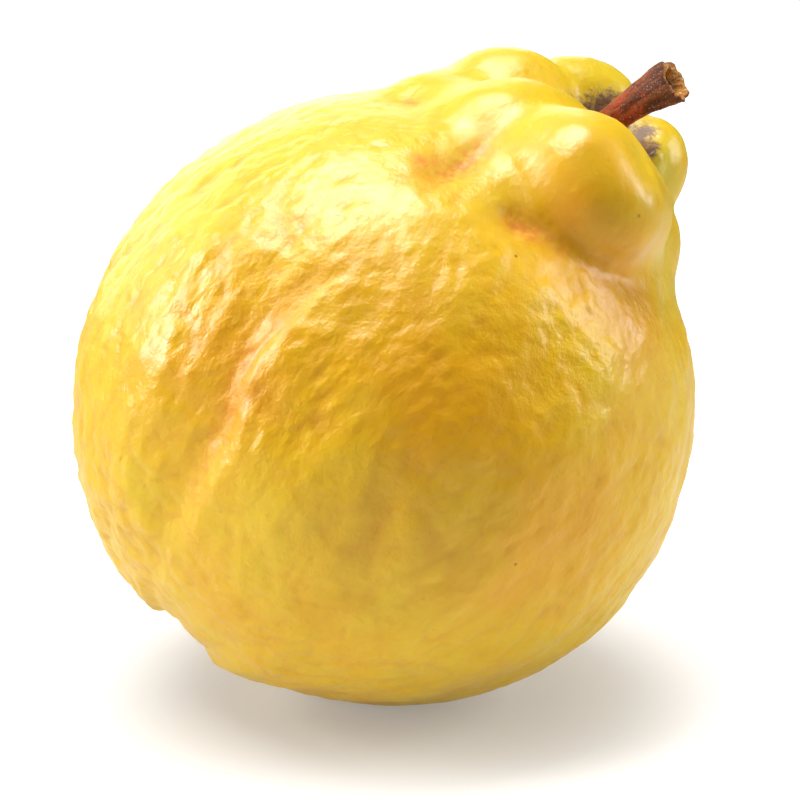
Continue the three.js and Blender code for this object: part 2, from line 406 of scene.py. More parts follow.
def tube_faces(rings: int, count: int) -> list[tuple[int, ...]]:
    """Faces of a closed tube that starts and ends in a point.

    Args:
        rings: How many rings lie between the two end points.
        count: How many points each ring has.

    Returns:
        Vertex indices of each face.
    """
    faces: list[tuple[int, ...]] = []
    last = rings * count + 1
    for i in range(count):
        j = (i + 1) % count
        faces.append((0, 1 + j, 1 + i))
        for k in range(rings - 1):
            a, b = 1 + k * count + i, 1 + k * count + j
            faces.append((a, b, b + count, a + count))
        faces.append((last, last - count + i, last - count + j))
    return faces


def store_floats(piece: bpy.types.Object, name: str, values: np.ndarray) -> None:
    """Keep one number per vertex on a mesh for its material to read."""
    layer = piece.data.attributes.new(name, "FLOAT", "POINT")
    layer.data.foreach_set("value", values.astype(np.float32))


def store_vectors(piece: bpy.types.Object, name: str, values: np.ndarray) -> None:
    """Keep one vector per vertex on a mesh for its material to read."""
    layer = piece.data.attributes.new(name, "FLOAT_VECTOR", "POINT")
    layer.data.foreach_set("vector", values.astype(np.float32).ravel())


@dataclass(frozen=True)
class SmoothPath:
    """A Catmull-Rom path through a few points, with steady cross directions."""

    knots: tuple[Triple, ...]

    def points(self, count: int) -> np.ndarray:
        """Evenly spread points along the path.

        Args:
            count: How many points are wanted.

        Returns:
            Array of `count` by 3 points.
        """
        k = np.array(self.knots, float)
        k = np.vstack([2 * k[0] - k[1], k, 2 * k[-1] - k[-2]])
        dense = []
        for i in range(1, len(k) - 2):
            for t in np.linspace(0, 1, 40, endpoint=i == len(k) - 3):
                a, b, c, d = k[i - 1], k[i], k[i + 1], k[i + 2]
                bend = (2 * a - 5 * b + 4 * c - d) * t * t + (3 * b - a - 3 * c + d) * t**3
                dense.append(0.5 * (2 * b + (c - a) * t + bend))
        dense = np.array(dense)
        along = np.concatenate([[0], np.cumsum(np.linalg.norm(np.diff(dense, axis=0), axis=1))])
        wanted = np.linspace(0, along[-1], count)
        return np.stack([np.interp(wanted, along, dense[:, i]) for i in range(3)], axis=1)

    def frames(self, count: int) -> tuple[np.ndarray, np.ndarray, np.ndarray, np.ndarray]:
        """Points along the path with their directions.

        Args:
            count: How many points are wanted.

        Returns:
            The points, the tangents and two cross directions, each `count` by 3.
        """
        p = self.points(count)
        tangent = np.gradient(p, axis=0)
        tangent /= np.linalg.norm(tangent, axis=1, keepdims=True)
        first = np.cross(tangent[0], [0.0, 1.0, 0.0])
        sides = [first / np.linalg.norm(first)]
        for t in tangent[1:]:
            side = sides[-1] - t * np.dot(sides[-1], t)
            sides.append(side / np.linalg.norm(side))
        side = np.array(sides)
        return p, tangent, side, np.cross(tangent, side)


# ------------------------------------------------------------------------ node helpers
def rgba(colour: Rgb) -> tuple[float, float, float, float]:
    """Colour with full alpha."""
    return (*colour, 1.0)


class NodeSheet:
    """Short way to place and join shader nodes in one tree."""

    def __init__(self, tree: bpy.types.NodeTree, fresh: bool = True) -> None:
        """Start on a node tree.

        Args:
            tree: The node tree.
            fresh: Whether the tree is emptied first.
        """
        self.tree = tree
        if fresh:
            tree.nodes.clear()

    def add(self, kind: str, **settings: object) -> bpy.types.Node:
        """Place a node and set its properties.

        Args:
            kind: Type of the node.
            settings: Values of its properties.

        Returns:
            The new node.
        """
        node = self.tree.nodes.new(kind)
        for key, value in settings.items():
            setattr(node, key, value)
        return node

    def join(self, source: object, target: bpy.types.NodeSocket) -> None:
        """Link a socket to an input, or set the input to a plain value.

        Args:
            source: A socket or a plain value.
            target: The input.
        """
        if isinstance(source, bpy.types.NodeSocket):
            self.tree.links.new(source, target)
        else:
            target.default_value = source

    def wired(self, kind: str, inputs: dict[str | int, object], **settings: object) -> bpy.types.Node:
        """Place a node, set its properties and feed its inputs.

        Args:
            kind: Type of the node.
            inputs: A socket or a plain value for each input, by name or place.
            settings: Values of its properties.

        Returns:
            The new node.
        """
        node = self.add(kind, **settings)
        for key, source in inputs.items():
            self.join(source, node.inputs[key])
        return node

    def math(
        self, operation: str, a: object, b: object = 0.0, c: object = 0.0, clamp: bool = False
    ) -> object:
        """Result of one Math node.

        Args:
            operation: What the node works out.
            a: First operand.
            b: Second operand.
            c: Third operand.
            clamp: Whether the result is kept between 0 and 1.

        Returns:
            The result's socket.
        """
        node = self.wired("ShaderNodeMath", {0: a, 1: b, 2: c}, operation=operation, use_clamp=clamp)
        return node.outputs[0]

    def spread(
        self, value: object, low: object, high: object, out_low: float = 0.0, out_high: float = 1.0
    ) -> object:
        """Map a range smoothly onto another range.

        Args:
            value: What is mapped.
            low: Start of its range.
            high: End of its range.
            out_low: What the start is mapped to.
            out_high: What the end is mapped to.

        Returns:
            The result's socket.
        """
        wiring = {0: value, 1: low, 2: high, 3: out_low, 4: out_high}
        return self.wired("ShaderNodeMapRange", wiring, interpolation_type="SMOOTHSTEP").outputs[0]

    def about_half(self, value: object, edge: object) -> object:
        """Step from 0 to 1 as a value passes one half, `edge` to each side of it."""
        low, high = self.math("SUBTRACT", 0.5, edge), self.math("ADD", 0.5, edge)
        return self.spread(value, low, high)

    def mix(self, factor: object, a: object, b: object) -> object:
        """Colour mixed from `a` to `b`."""
        node = self.wired("ShaderNodeMix", {0: factor, 6: a, 7: b}, data_type="RGBA")
        return node.outputs[2]

    def lay(self, colour: object, tint: Rgb, mask: object, share: float) -> object:
        """Colour with a tint laid over it where a mask is high, up to a share."""
        return self.mix(self.math("MULTIPLY", mask, share), colour, rgba(tint))

    def noise(self, vector: object, scale: object, detail: float = 3.0, rough: float = 0.5) -> object:
        """Value of a noise texture."""
        wiring = {"Vector": vector, "Scale": scale, "Detail": detail, "Roughness": rough}
        return self.wired("ShaderNodeTexNoise", wiring).outputs["Fac"]

    def surface(self, inputs: dict[str, object], height: object, strength: float, depth: float) -> None:
        """End the material in a Principled shader with a bump over it.

        Args:
            inputs: A socket or a plain value for each of the shader's inputs.
            height: Height of the bump.
            strength: How much of the bump shows.
            depth: Depth of the bump in metres.
        """
        shader = self.wired("ShaderNodeBsdfPrincipled", inputs)
        bump = self.wired("ShaderNodeBump", {"Strength": strength, "Distance": depth, "Height": height})
        self.join(bump.outputs["Normal"], shader.inputs["Normal"])
        self.wired("ShaderNodeOutputMaterial", {"Surface": shader.outputs[0]})

    def attribute(self, name: str, output: str = "Fac") -> object:
        """Socket that reads something kept on the mesh."""
        return self.add("ShaderNodeAttribute", attribute_name=name).outputs[output]

    def object_place(self) -> object:
        """Position on the piece."""
        return self.add("ShaderNodeTexCoord").outputs["Object"]


class Effect(Enum):
    """Surface effects that more than one finish uses."""

    MOTTLE = "uneven colour"
    SPECKS = "small spots"
    FIBRES = "fibres along the grain"


class EffectShelf:
    """Builds each shared effect once, as a node group, and hands it out."""

    _made: dict[Effect, bpy.types.NodeTree] = {}

    @classmethod
    def group(cls, effect: Effect) -> bpy.types.NodeTree:
        """The node group of an effect, built when it is first asked for.

        Args:
            effect: The effect.

        Returns:
            Its node group.
        """
        if effect not in cls._made:
            builders = {
                Effect.MOTTLE: cls._mottle,
                Effect.SPECKS: cls._specks,
                Effect.FIBRES: cls._fibres,
            }
            cls._made[effect] = builders[effect]()
        return cls._made[effect]

    @classmethod
    def place(cls, sheet: NodeSheet, effect: Effect, **values: object) -> bpy.types.Node:
        """Place an effect in a material.

        Args:
            sheet: The material's sheet.
            effect: The effect.
            values: A socket or a plain value for each named input.

        Returns:
            The group's node.
        """
        node = sheet.add("ShaderNodeGroup", node_tree=cls.group(effect))
        for key, value in values.items():
            sheet.join(value, node.inputs[key.replace("_", " ").title()])
        return node

    @staticmethod
    def _start(
        effect: Effect, numbers: dict[str, float], outputs: tuple[str, ...]
    ) -> tuple[NodeSheet, bpy.types.Node, bpy.types.Node]:
        """Start an effect's group, with a Vector input.

        Args:
            effect: The effect.
            numbers: Name and usual value of each other input.
            outputs: Name of each output.

        Returns:
            The group's sheet, its input node and its output node.
        """
        tree = bpy.data.node_groups.new(effect.value, "ShaderNodeTree")
        tree.interface.new_socket("Vector", in_out="INPUT", socket_type="NodeSocketVector")
        for name, value in numbers.items():
            socket = tree.interface.new_socket(name, in_out="INPUT", socket_type="NodeSocketFloat")
            socket.default_value = value
        for name in outputs:
            tree.interface.new_socket(name, in_out="OUTPUT", socket_type="NodeSocketFloat")
        sheet = NodeSheet(tree)
        return sheet, sheet.add("NodeGroupInput"), sheet.add("NodeGroupOutput")

    @classmethod
    def _mottle(cls) -> bpy.types.NodeTree:
        """Cloudy patches of two sizes, added together.

        Returns:
            The finished group.
        """
        sheet, start, end = cls._start(
            Effect.MOTTLE, {"Scale": 60.0, "Contrast": 0.5}, ("Mask",)
        )
        place, scale = start.outputs["Vector"], start.outputs["Scale"]
        big = sheet.noise(place, scale, 4.0)
        small = sheet.noise(place, sheet.math("MULTIPLY", scale, 3.7), 3.0)
        both = sheet.math("MULTIPLY_ADD", small, 0.4, sheet.math("MULTIPLY", big, 0.6))
        half = sheet.math("MULTIPLY", start.outputs["Contrast"], 0.5)
        mask = sheet.about_half(both, sheet.math("SUBTRACT", 0.3, half))
        sheet.join(mask, end.inputs["Mask"])
        return sheet.tree

    @classmethod
    def _specks(cls) -> bpy.types.NodeTree:
        """Round spots of uneven size, most cells left empty.

        Returns:
            The finished group.
        """
        sheet, start, end = cls._start(
            Effect.SPECKS, {"Scale": 300.0, "Size": 0.2, "Share": 0.3}, ("Mask",)
        )
        wiring = {"Vector": start.outputs["Vector"], "Scale": start.outputs["Scale"]}
        cells = sheet.wired("ShaderNodeTexVoronoi", wiring)
        split = sheet.wired("ShaderNodeSeparateColor", {0: cells.outputs["Color"]})
        chosen = sheet.math("LESS_THAN", split.outputs[0], start.outputs["Share"])
        grown = sheet.math("MULTIPLY", start.outputs["Size"], sheet.math("ADD", split.outputs[1], 0.4))
        near = sheet.spread(cells.outputs["Distance"], grown, sheet.math("MULTIPLY", grown, 0.4))
        sheet.join(sheet.math("MULTIPLY", chosen, near), end.inputs["Mask"])
        return sheet.tree

    @classmethod
    def _fibres(cls) -> bpy.types.NodeTree:
        """Long thin streaks in coordinates that already run along the grain.

        Returns:
            The finished group.
        """
        sheet, start, end = cls._start(
            Effect.FIBRES, {"Scale": 4.0, "Sharpness": 0.5}, ("Mask", "Height")
        )
        wiring = {"Vector": start.outputs["Vector"], "Scale": start.outputs["Scale"]}
        wiring |= {"Detail": 5.0, "Roughness": 0.62, "Distortion": 0.25}
        streak = sheet.wired("ShaderNodeTexNoise", wiring).outputs["Fac"]
        edge = sheet.math("MULTIPLY", sheet.math("SUBTRACT", 1.0, start.outputs["Sharpness"]), 0.3)
        sheet.join(sheet.about_half(streak, edge), end.inputs["Mask"])
        sheet.join(streak, end.inputs["Height"])
        return sheet.tree


# ---------------------------------------------------------------------------- finishes
def new_material(name: str) -> tuple[bpy.types.Material, NodeSheet]:
    """Start a material with an empty node tree.

    Args:
        name: Name of the material.

    Returns:
        The material and the sheet to build it on.
    """
    material = bpy.data.materials.new(name)
    material.use_nodes = True
    return material, NodeSheet(material.node_tree)


@dataclass(frozen=True)
class SkinFinish:
    """Waxy quince skin: golden patches, some painted as shade in the middle and under the front knob, amber
    shade painted into the creases, greener at the neck.
    """

    light: Rgb = (0.80, 0.55, 0.018)
    deep: Rgb = (0.83, 0.50, 0.008)
    golden: Rgb = (0.78, 0.37, 0.005)
    # amber: tone of the streaks and freckles, and also the shade painted into the wrinkle creases
    amber_and_crease_shade: Rgb = (0.66, 0.28, 0.005)
    green: Rgb = (0.52, 0.45, 0.018)
    orange: Rgb = (0.70, 0.19, 0.008)
    scurf: Rgb = (0.21, 0.10, 0.04)
    speck: Rgb = (0.26, 0.09, 0.015)
    roughness: float = 0.38
    subsurface: float = 0.3
    subsurface_reach: float = 0.003

    def material(self) -> bpy.types.Material:
        """Build the skin's node material.

        Returns:
            The material.
        """
        material, sheet = new_material("waxy_quince_skin")
        place = sheet.object_place()
        grain = sheet.attribute("grain", "Vector")
        crease_shade = sheet.attribute("crease_shade")
        neck = sheet.attribute("neck")
        dimple = sheet.attribute("dimple")
        scurf = sheet.attribute("scurf")

        patch = EffectShelf.place(sheet, Effect.MOTTLE, vector=place, scale=38.0, contrast=0.35)
        cloud = EffectShelf.place(sheet, Effect.MOTTLE, vector=place, scale=150.0, contrast=0.2)
        streak = EffectShelf.place(sheet, Effect.FIBRES, vector=grain, scale=1.6, sharpness=0.3)
        uneven = sheet.spread(patch.outputs["Mask"], 0.0, 1.0, 0.15, 0.85)
        colour = sheet.mix(uneven, rgba(self.deep), rgba(self.light))
        colour = sheet.lay(colour, self.light, cloud.outputs["Mask"], 0.35)
        patchy = sheet.spread(patch.outputs["Mask"], 0.0, 1.0, 1.0, 0.7)
        # golden patches: partly the skin's own tone, partly painted shade in the middle and under the front
        # knob
        ripe_and_shade = sheet.math("MULTIPLY", sheet.attribute("ripe_and_shade"), patchy)
        colour = sheet.mix(ripe_and_shade, colour, rgba(self.golden))
        colour = sheet.lay(colour, self.amber_and_crease_shade, streak.outputs["Mask"], 0.12)
        # painted shade: the wrinkle valleys are darkened towards amber
        hollow = sheet.math("MULTIPLY", crease_shade, 0.75, clamp=True)
        colour = sheet.mix(hollow, colour, rgba(self.amber_and_crease_shade))
        tinge = sheet.math("MULTIPLY", neck, sheet.spread(sheet.noise(place, 90.0), 0.3, 0.7, 0.25, 1.0))
        colour = sheet.mix(tinge, colour, rgba(self.green))
        grit = sheet.spread(sheet.noise(place, 900.0, 4.0), 0.35, 0.62, 0.45, 1.0)
        colour = sheet.mix(sheet.math("MULTIPLY", dimple, grit), colour, rgba(self.orange))
        crust = sheet.spread(sheet.noise(place, 700.0, 6.0, 0.7), 0.36, 0.62)
        edge = sheet.math("MULTIPLY_ADD", scurf, 1.5, sheet.math("MULTIPLY_ADD", crust, 0.9, -0.75))
        worn = sheet.math("MULTIPLY", sheet.math("GREATER_THAN", scurf, 0.02), edge, clamp=True)
        colour = sheet.mix(worn, colour, rgba(self.scurf))
        dots = EffectShelf.place(sheet, Effect.SPECKS, vector=place, scale=230.0, size=0.085, share=0.05)
        freckle = EffectShelf.place(sheet, Effect.SPECKS, vector=place, scale=620.0, size=0.22, share=0.10)
        colour = sheet.lay(colour, self.amber_and_crease_shade, freckle.outputs["Mask"], 0.30)
        colour = sheet.lay(colour, self.speck, dots.outputs["Mask"], 0.85)

        low, high = self.roughness - 0.06, self.roughness + 0.08
        gloss = sheet.spread(sheet.noise(place, 260.0), 0.3, 0.7, low, high)
        dull = sheet.math("MULTIPLY_ADD", worn, 0.35, sheet.math("MULTIPLY_ADD", dimple, 0.35, gloss))
        shine = {
            "Base Color": colour,
            "Roughness": dull,
            "Specular IOR Level": 0.3,
            "Subsurface Weight": self.subsurface,
            "Subsurface Radius": (1.0, 0.55, 0.1),
            "Subsurface Scale": self.subsurface_reach,
            "Coat Weight": 0.15,
            "Coat Roughness": 0.25,
        }
        peel = sheet.noise(place, 700.0, 2.0, 0.5)
        pore = EffectShelf.place(sheet, Effect.SPECKS, vector=place, scale=900.0, size=0.30, share=0.6)
        wrinkled = sheet.math("MULTIPLY", sheet.attribute("wrinkled"), 1.9)
        run = sheet.math("MULTIPLY", sheet.noise(grain, 4.2, 3.0, 0.6), wrinkled)
        height = sheet.math("ADD", peel, run)
        height = sheet.math("SUBTRACT", height, sheet.math("MULTIPLY", pore.outputs["Mask"], 0.10))
        height = sheet.math("ADD", height, sheet.math("MULTIPLY", worn, crust))
        sheet.surface(shine, height, 0.5, 0.00025)
        return material


@dataclass(frozen=True)
class StemFinish:
    """Woody stem: red-brown and smooth below, dark and scurfy above, torn tan end."""

    young: Rgb = (0.38, 0.045, 0.003)
    old: Rgb = (0.048, 0.012, 0.011)
    rust: Rgb = (0.42, 0.13, 0.012)
    lichen: Rgb = (0.44, 0.33, 0.30)
    torn: Rgb = (0.66, 0.29, 0.055)
    pith: Rgb = (0.12, 0.035, 0.008)
    # pale torn fibres, which also stand in for painted glints on the torn end
    chaff_and_glint: Rgb = (0.85, 0.60, 0.30)

    def material(self) -> bpy.types.Material:
        """Build the stem's node material.

        Returns:
            The material.
        """
        material, sheet = new_material("woody_stem")
        place = sheet.object_place()
        grain = sheet.attribute("grain", "Vector")
        along = sheet.attribute("along")
        torn = sheet.attribute("torn")
        pit = sheet.attribute("pit")
        fibre = EffectShelf.place(sheet, Effect.FIBRES, vector=grain, scale=2.2, sharpness=0.4)
        patch = EffectShelf.place(sheet, Effect.MOTTLE, vector=place, scale=420.0, contrast=0.35)
        uneven = sheet.math("MULTIPLY_ADD", patch.outputs["Mask"], 0.35, -0.17)
        age = sheet.spread(sheet.math("ADD", along, uneven), 0.40, 0.95)
        colour = sheet.mix(age, rgba(self.young), rgba(self.old))
        colour = sheet.lay(colour, self.rust, fibre.outputs["Mask"], 0.35)
        spots = EffectShelf.place(sheet, Effect.SPECKS, vector=place, scale=3400.0, size=0.40, share=0.5)
        pale = sheet.math("MULTIPLY", spots.outputs["Mask"], sheet.spread(along, 0.30, 0.75, 0.05, 0.8))
        colour = sheet.mix(pale, colour, rgba(self.lichen))
        wood = sheet.mix(fibre.outputs["Mask"], rgba(self.torn), rgba(self.rust))
        # pale fibre flecks on the torn end, partly painted glints on the fibres
        wood = sheet.mix(sheet.spread(sheet.noise(place, 1400.0, 3.0), 0.52, 0.66), wood, rgba(self.chaff_and_glint))
        wood = sheet.lay(wood, self.pith, pit, 0.8)
        colour = sheet.mix(torn, colour, wood)
        rough = sheet.spread(along, 0.2, 0.8, 0.42, 0.72)
        shine = {"Base Color": colour, "Roughness": rough, "Specular IOR Level": 0.2}
        bark = sheet.noise(place, 1900.0, 5.0, 0.65)
        height = sheet.math("ADD", bark, sheet.math("MULTIPLY", fibre.outputs["Height"], 1.2))
        height = sheet.math("ADD", height, sheet.math("MULTIPLY", spots.outputs["Mask"], 0.5))
        sheet.surface(shine, height, 0.9, 0.0003)
        return material


@dataclass(frozen=True)
class DryFinish:
    """Dead plant matter: dried sepals, stamens and styles."""

    name: str
    dark: Rgb
    pale: Rgb
    bloom: Rgb
    roughness: float = 0.85

    def material(self) -> bpy.types.Material:
        """Build the dry piece's node material.

        Returns:
            The material.
        """
        material, sheet = new_material(self.name)
        place = sheet.object_place()
        grain = sheet.attribute("grain", "Vector")
        fibre = EffectShelf.place(sheet, Effect.FIBRES, vector=grain, scale=3.0, sharpness=0.35)
        patch = EffectShelf.place(sheet, Effect.MOTTLE, vector=place, scale=380.0, contrast=0.3)
        colour = sheet.mix(fibre.outputs["Mask"], rgba(self.dark), rgba(self.pale))
        colour = sheet.lay(colour, self.bloom, patch.outputs["Mask"], 0.45)
        low, high = self.roughness - 0.12, self.roughness + 0.08
        rough = sheet.spread(patch.outputs["Mask"], 0.0, 1.0, low, high)
        shine = {"Base Color": colour, "Roughness": rough}
        sheet.surface(shine, fibre.outputs["Height"], 0.6, 0.0002)
        return material


SEPAL_FINISH = DryFinish("dried_sepal", (0.10, 0.05, 0.022), (0.27, 0.155, 0.07), (0.33, 0.26, 0.17))
STAMEN_FINISH = DryFinish("dried_stamen", (0.045, 0.024, 0.013), (0.15, 0.08, 0.035), (0.20, 0.14, 0.09))


# ------------------------------------------------------------------------ sub-assemblies
def toward(lon: np.ndarray, polar: np.ndarray) -> np.ndarray:
    """Unit vectors towards longitudes and polar angles, given in radians."""
    return np.stack([np.sin(polar) * np.cos(lon), np.sin(polar) * np.sin(lon), np.cos(polar)], axis=-1)


@dataclass(frozen=True)
class Groove:
    """A crease that wanders over the fruit, fading out at both ends.

    Each knot of its path is a longitude and a polar angle in degrees.
    """

    path: tuple[tuple[float, float], ...]
    reach: float
    depth: float
    tint: float

    def nearness(self, points: np.ndarray) -> np.ndarray:
        """Weight of the groove at points near the surface, 1 in its middle.

        Args:
            points: Array of n by 3 points.

        Returns:
            Array of n weights between 0 and 1.
        """
        knots = np.radians(np.array(self.path, float))
        share = np.linspace(0, len(knots) - 1, 12 * len(knots))
        lon, polar = (np.interp(share, range(len(knots)), knots[:, k]) for k in range(2))
        spots = toward(lon, polar)
        size = np.linalg.norm(points, axis=1)
        unit = points / size[:, None]
        fade = np.sqrt(np.sin(math.pi * np.linspace(0.03, 0.97, len(spots))))
        weight = np.zeros(len(points))
        for spot, strength in zip(spots, fade):
            gap = np.linalg.norm(unit - spot, axis=1) * size
            weight = np.maximum(weight, strength * np.exp(-((gap / self.reach) ** 2)))
        return weight


@dataclass
class Skin:
    """The whole fruit's outside, with its wrinkles, dimples and creases."""

    voxel: float = 0.55
    node: str = "fruit"
    rib_height: float = 0.6
    fold_height: float = 0.27
    lump_height: float = 0.4
    wrinkle_height: float = 0.22
    pucker_height: float = 0.15
    crack_depth: float = 0.06
    dimple_height: float = 0.24
    knob_smoothness: float = 0.45
    dimples: tuple[tuple[float, float, float, float], ...] = (
        (232.5, 40.0, 4.2, 0.9),
        (257.0, 38.5, 3.4, 0.8),
        (279.0, 20.0, 7.5, 3.3),
        (252.0, 26.5, 4.6, -0.8),
        (332.0, 32.0, 5.0, 1.1),
        (196.0, 36.0, 3.5, 0.7),
        (78.0, 40.0, 4.0, 0.8),
        (20.0, 44.0, 3.6, 0.6),
    )
    blushes: tuple[tuple[float, float, float], ...] = (
        (231.0, 41.0, 2.2),
        (234.5, 38.5, 2.0),
        (228.0, 43.5, 1.6),
        (257.0, 38.5, 2.3),
        (261.0, 38.0, 2.2),
        (78.0, 40.0, 2.4),
        (196.0, 36.0, 1.6),
    )
    # golden patches by longitude, polar angle, reach and strength: the large one at the middle front and
    # the two under the front knob are painted shade, the rest are the skin's own golden tone
    ripe_and_shade_spots: tuple[tuple[float, float, float, float], ...] = (
        (266.0, 31.5, 8.5, 1.0),
        (266.0, 73.0, 21.0, 0.9),
        (236.0, 92.0, 15.0, 0.85),
        (300.0, 84.0, 18.0, 0.8),
        (292.0, 36.0, 11.0, 1.0),
        (60.0, 95.0, 24.0, 0.6),
        (150.0, 70.0, 16.0, 0.4),
        (270.0, 132.0, 14.0, 0.45),
    )
    grooves: tuple[Groove, ...] = (
        Groove(((229.5, 30.5), (231, 32.4), (233.5, 36.7), (234.5, 41), (234.8, 47)), 2.3, 0.85, 0.95),
        Groove(((252, 41), (257.2, 37.7), (264.4, 36.4), (277.3, 35.7)), 1.9, 0.5, 0.6),
        Groove(((277.3, 35.7), (286, 34), (296, 32.5), (312, 31)), 1.6, 0.3, 0.2),
        Groove(
            ((237.8, 70), (238.4, 80.8), (238.6, 90), (243.1, 100.7), (243.6, 108.6), (245, 121)),
            2.2, 0.85, 0.5,
        ),
        Groove(((270.6, 84.4), (277, 99.7), (280.8, 118)), 2.6, 0.35, 0.15),
    )
    piece: bpy.types.Object | None = field(default=None, init=False)

    @staticmethod
    def _spot(points: np.ndarray, lon: float, polar: float, reach: float) -> np.ndarray:
        """Weight of a round spot on the skin, 1 in its middle.

        Args:
            points: Array of n by 3 points near the surface.
            lon: Longitude of its middle in degrees.
            polar: Polar angle of its middle in degrees.
            reach: How far it spreads, in millimetres.

        Returns:
            Array of n weights between 0 and 1.
        """
        size = np.linalg.norm(points, axis=1)
        spot = toward(math.radians(lon), math.radians(polar))
        gap = np.linalg.norm(points / size[:, None] - spot, axis=1) * size
        return np.exp(-((gap / reach) ** 2))

    def build(self) -> bpy.types.Object:
        """Remesh a copy of the CAD fruit finely and settle it on the true form.

        Returns:
            The finished skin object.
        """
        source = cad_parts[self.node]
        piece = bpy.data.objects.new("quince_skin", source.data.copy())
        bpy.context.scene.collection.objects.link(piece)
        remesh = piece.modifiers.new("fine", "REMESH")
        remesh.mode = "VOXEL"
        remesh.voxel_size = self.voxel * MM
        graph = bpy.context.evaluated_depsgraph_get()
        fine = bpy.data.meshes.new_from_object(piece.evaluated_get(graph))
        piece.modifiers.clear()
        piece.data = fine
        fine.name = "quince_skin"
        fine.materials.clear()
        count = len(fine.vertices)
        flat = np.zeros(count * 3, np.float32)
        fine.vertices.foreach_get("co", flat)
        points = FORM.settle(to_fruit(flat.reshape(-1, 3).astype(float)), 3)
        points = FORM.settle(self._evened(points, fine), 2)
        slope = FORM.slope(points)
        normal = slope / np.linalg.norm(slope, axis=1, keepdims=True)
        height, crease_shade, wrinkled = self._relief(points)
        points = points + normal * height[:, None]
        row = to_row(points)
        row[:, 2] = self._rested(row[:, 2])
        fine.vertices.foreach_set("co", row.astype(np.float32).ravel())
        fine.update()
        fine.polygons.foreach_set("use_smooth", [True] * len(fine.polygons))
        self.piece = piece
        self._store(points, crease_shade, wrinkled)
        LOG.info("skin: %d vertices, %d faces", count, len(fine.polygons))
        return piece

    @staticmethod
    def _evened(points: np.ndarray, mesh: bpy.types.Mesh) -> np.ndarray:
        """Slide each vertex towards its neighbours' middle to even the grid.

        Args:
            points: Array of n by 3 vertices.
            mesh: The mesh whose edges tell which vertices are neighbours.

        Returns:
            The moved vertices.
        """
        edges = np.zeros(len(mesh.edges) * 2, np.int32)
        mesh.edges.foreach_get("vertices", edges)
        a, b = edges.reshape(-1, 2).T
        degree = np.bincount(np.concatenate([a, b]), minlength=len(points))
        for _ in range(4):
            total = np.zeros_like(points)
            for axis in range(3):
                total[:, axis] = np.bincount(a, points[b, axis], len(points))
                total[:, axis] += np.bincount(b, points[a, axis], len(points))
            points = points + 0.5 * (total / degree[:, None] - points)
        return points

    @staticmethod
    def _rested(z: np.ndarray) -> np.ndarray:
        """Flat where the fruit rests: nothing goes below the ground."""
        return np.maximum(z, 0.0)

    def _relief(self, points: np.ndarray) -> tuple[np.ndarray, np.ndarray, np.ndarray]:
        """Height of the skin's own relief, and where it is creased and wrinkled.

        Args:
            points: Array of n by 3 points on the smooth form.

        Returns:
            Height in millimetres, a weight for the amber shade painted into the creases and a wrinkle
            weight, each between 0 and 1.
        """
        rho, polar, lon = FORM.bearings(points)
        turned = (lon + 360) % 360
        sway = LatticeNoise(5).octaves(points / 24.0, 2)
        around = np.radians(lon) + 0.05 * sway
        down = np.radians(polar)

        def meridian(across: float, along: float) -> np.ndarray:
            """Coordinates that stretch a pattern from neck to blossom end."""
            wide = rho / BELLY_RADIUS * across
            return np.stack([np.cos(around) * wide, np.sin(around) * wide, down * along], axis=1)

        fan = np.stack([np.cos(around) * 3.2, np.sin(around) * 3.2, down * 0.9], axis=1)
        ribs = LatticeNoise(11).octaves(fan, 2)
        folds = LatticeNoise(37).octaves(fan * 2.4, 2)
        west = band(turned, 168, 258, 40) * band(polar, 58, 200, 30)
        wrinkle = LatticeNoise(23).octaves(meridian(9.5, 6.0), 2, 0.6)
        pucker = LatticeNoise(31).octaves(meridian(20.0, 12.5), 2, 0.6)
        billow = 1.0 - np.minimum(np.abs(LatticeNoise(29).sample(meridian(10.0, 5.0))) * 2.4, 1.0)
        dimpled = LatticeNoise(41).octaves(points / 3.4, 2, 0.5)
        lumps = LatticeNoise(43).octaves(points / 13.0, 2)

        knobs = band(polar, -40, 34, 8)
        belly = 1.0 - knobs * (1.0 - self.knob_smoothness)
        lower = 1.0 - 0.30 * band(polar, 92, 200, 36) * band(turned, 258, 400, 40)
        rough = 0.6 + 0.4 * np.clip(0.5 + LatticeNoise(47).sample(points / 30.0), 0, 1)
        side = band(turned, 276, 350, 40) * band(polar, 35, 95, 25)
        amount = belly * lower * rough
        amount *= 1 + 0.4 * west + 0.45 * band(polar, 86, 150, 24)
        height = self.rib_height * ribs * band(polar, 50, 185, 40) * belly
        height += self.fold_height * folds * band(polar, 84, 176, 34) * (0.35 + 0.65 * west)
        height += self.lump_height * lumps * belly
        height += self.wrinkle_height * wrinkle * amount * (1 - 0.45 * side)
        height += self.pucker_height * pucker * amount * (1 - 0.3 * side)
        height -= self.crack_depth * billow**3 * amount * (1 - 0.5 * side)
        height += self.dimple_height * dimpled * amount * (0.35 + 0.65 * side)

        # painted shade: this weight is high in the wrinkle valleys, where the material darkens the skin
        # towards amber
        crease_shade = 0.35 * billow**4 * amount
        crease_shade += np.clip(-(wrinkle + 0.8 * pucker) - 0.3, 0, 1) * 0.5 * amount
        for where, pole, reach, depth in self.dimples:
            height -= depth * self._spot(points, where, pole, reach)
        for groove in self.grooves:
            height -= groove.depth * groove.nearness(points)
        floor = to_row(points)[:, 2] / MM
        height *= 0.25 + 0.75 * np.clip((floor - 0.5) / 6.0, 0, 1)
        return height, np.clip(crease_shade, 0, 1), amount

